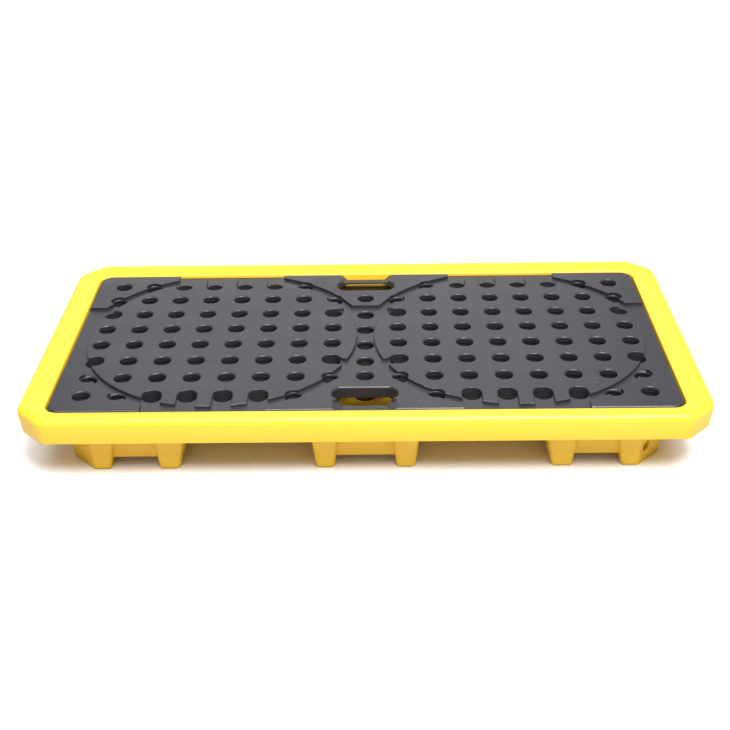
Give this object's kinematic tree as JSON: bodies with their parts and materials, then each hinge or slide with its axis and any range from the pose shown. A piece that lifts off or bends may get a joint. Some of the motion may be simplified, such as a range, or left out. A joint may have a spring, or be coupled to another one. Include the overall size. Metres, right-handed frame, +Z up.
{
  "type": "spill containment pallet",
  "caption": "Low two-drum spill pallet: a moulded sump tray on feet with fork tunnels, and a lift-out perforated deck with two round drum platforms and hand holes.",
  "frame": {"origin": "centre of the footprint, on the ground under the feet", "axes": "+X along the long side, +Y along the short side from front to back, +Z up"},
  "size_m": [1.3, 0.68, 0.15],
  "materials": {
    "tray_yellow": "satin yellow moulded polyethylene",
    "deck_black": "satin black moulded polyethylene"
  },
  "bodies": {
    "tray": {"deck_ledge_back": "tray_yellow", "deck_ledge_front": "tray_yellow", "deck_ledge_left": "tray_yellow", "deck_ledge_right": "tray_yellow", "foot_back_centre_left": "tray_yellow", "foot_back_centre_right": "tray_yellow", "foot_back_corner_left": "tray_yellow", "foot_back_corner_right": "tray_yellow", "foot_back_inner_left": "tray_yellow", "foot_back_inner_right": "tray_yellow", "foot_front_centre_left": "tray_yellow", "foot_front_centre_right": "tray_yellow", "foot_front_corner_left": "tray_yellow", "foot_front_corner_right": "tray_yellow", "foot_front_inner_left": "tray_yellow", "foot_front_inner_right": "tray_yellow", "foot_middle_centre_left": "tray_yellow", "foot_middle_centre_right": "tray_yellow", "foot_middle_corner_left": "tray_yellow", "foot_middle_corner_right": "tray_yellow", "foot_middle_inner_left": "tray_yellow", "foot_middle_inner_right": "tray_yellow", "sump_pan_centre": "tray_yellow", "sump_pan_left": "tray_yellow", "sump_pan_right": "tray_yellow", "tray_rim": "tray_yellow", "tunnel_roof_left": "tray_yellow", "tunnel_roof_right": "tray_yellow"},
    "deck": {"corner_block_back_left": "deck_black", "corner_block_back_right": "deck_black", "corner_block_front_left": "deck_black", "corner_block_front_right": "deck_black", "deck_band_back_left": "deck_black", "deck_band_back_right": "deck_black", "deck_band_front_left": "deck_black", "deck_band_front_right": "deck_black", "deck_plate": "deck_black", "deck_skirt": "deck_black", "drum_platform_left": "deck_black", "drum_platform_right": "deck_black", "grip_bar_back": "deck_black", "grip_bar_front": "deck_black", "hand_collar_back": "deck_black", "hand_collar_front": "deck_black", "handle_block_back": "deck_black", "handle_block_front": "deck_black", "rib_panel_centre": "deck_black", "rib_panel_left": "deck_black", "rib_panel_right": "deck_black"}
  },
  "joints": [
    {"name": "deck_lift", "type": "slide", "parent": "tray", "child": "deck", "axis": [0, 0, 1], "range_m": [0, 0.18]}
  ]
}
